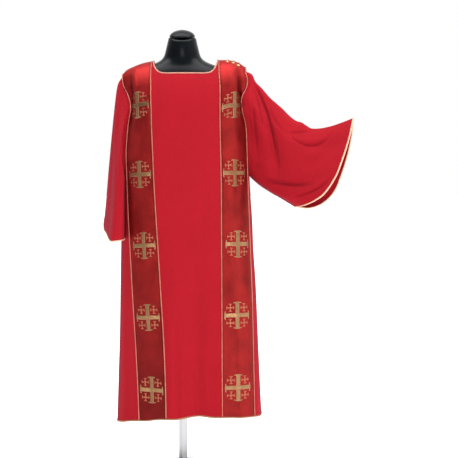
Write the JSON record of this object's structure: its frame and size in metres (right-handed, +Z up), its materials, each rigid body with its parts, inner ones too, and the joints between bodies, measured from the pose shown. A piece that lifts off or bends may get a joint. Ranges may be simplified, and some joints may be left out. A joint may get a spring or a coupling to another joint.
{
  "type": "dalmatic on a dress form",
  "caption": "Wide-sleeved red dalmatic with dark bands edged in gold piping, on a limbless dress form with a round base; the wearer's left sleeve is held out to the side.",
  "frame": {"origin": "on the floor at the centre of the stand's base, on the pole's axis", "axes": "+Z up; the front of the garment faces -Y; +X is the wearer's left, where the sleeve is raised"},
  "size_m": [0.9004, 0.373, 1.6217],
  "materials": {
    "plain_cloth": "matt plain-weave red cloth",
    "band_cloth": "dark red satin damask",
    "gold_piping": "gold metallic cord",
    "pale_binding": "pale gold metallic braid",
    "gold_button": "polished gold colour",
    "form_black": "black, half gloss",
    "stand_steel": "brushed"
  },
  "bodies": {
    "root": {"front": "plain_cloth", "back": "plain_cloth", "sleeve_left": "plain_cloth", "sleeve_right": "plain_cloth", "band_front_left": "band_cloth", "band_front_right": "band_cloth", "band_back_left": "band_cloth", "band_back_right": "band_cloth", "piping_front_left_inner": "gold_piping", "piping_front_left_outer": "gold_piping", "piping_front_right_inner": "gold_piping", "piping_front_right_outer": "gold_piping", "piping_back_left_inner": "gold_piping", "piping_back_left_outer": "gold_piping", "piping_back_right_inner": "gold_piping", "piping_back_right_outer": "gold_piping", "neck_binding": "pale_binding", "hem_binding": "pale_binding", "cuff_binding_left": "pale_binding", "cuff_binding_right": "pale_binding", "slit_binding_front": "pale_binding", "slit_binding_back": "pale_binding", "slit_button_1": "gold_button", "slit_button_2": "gold_button", "slit_button_3": "gold_button", "form_body": "form_black", "form_neck_cap": "form_black", "stand_pole": "stand_steel", "stand_base": "stand_steel"}
  },
  "joints": []
}
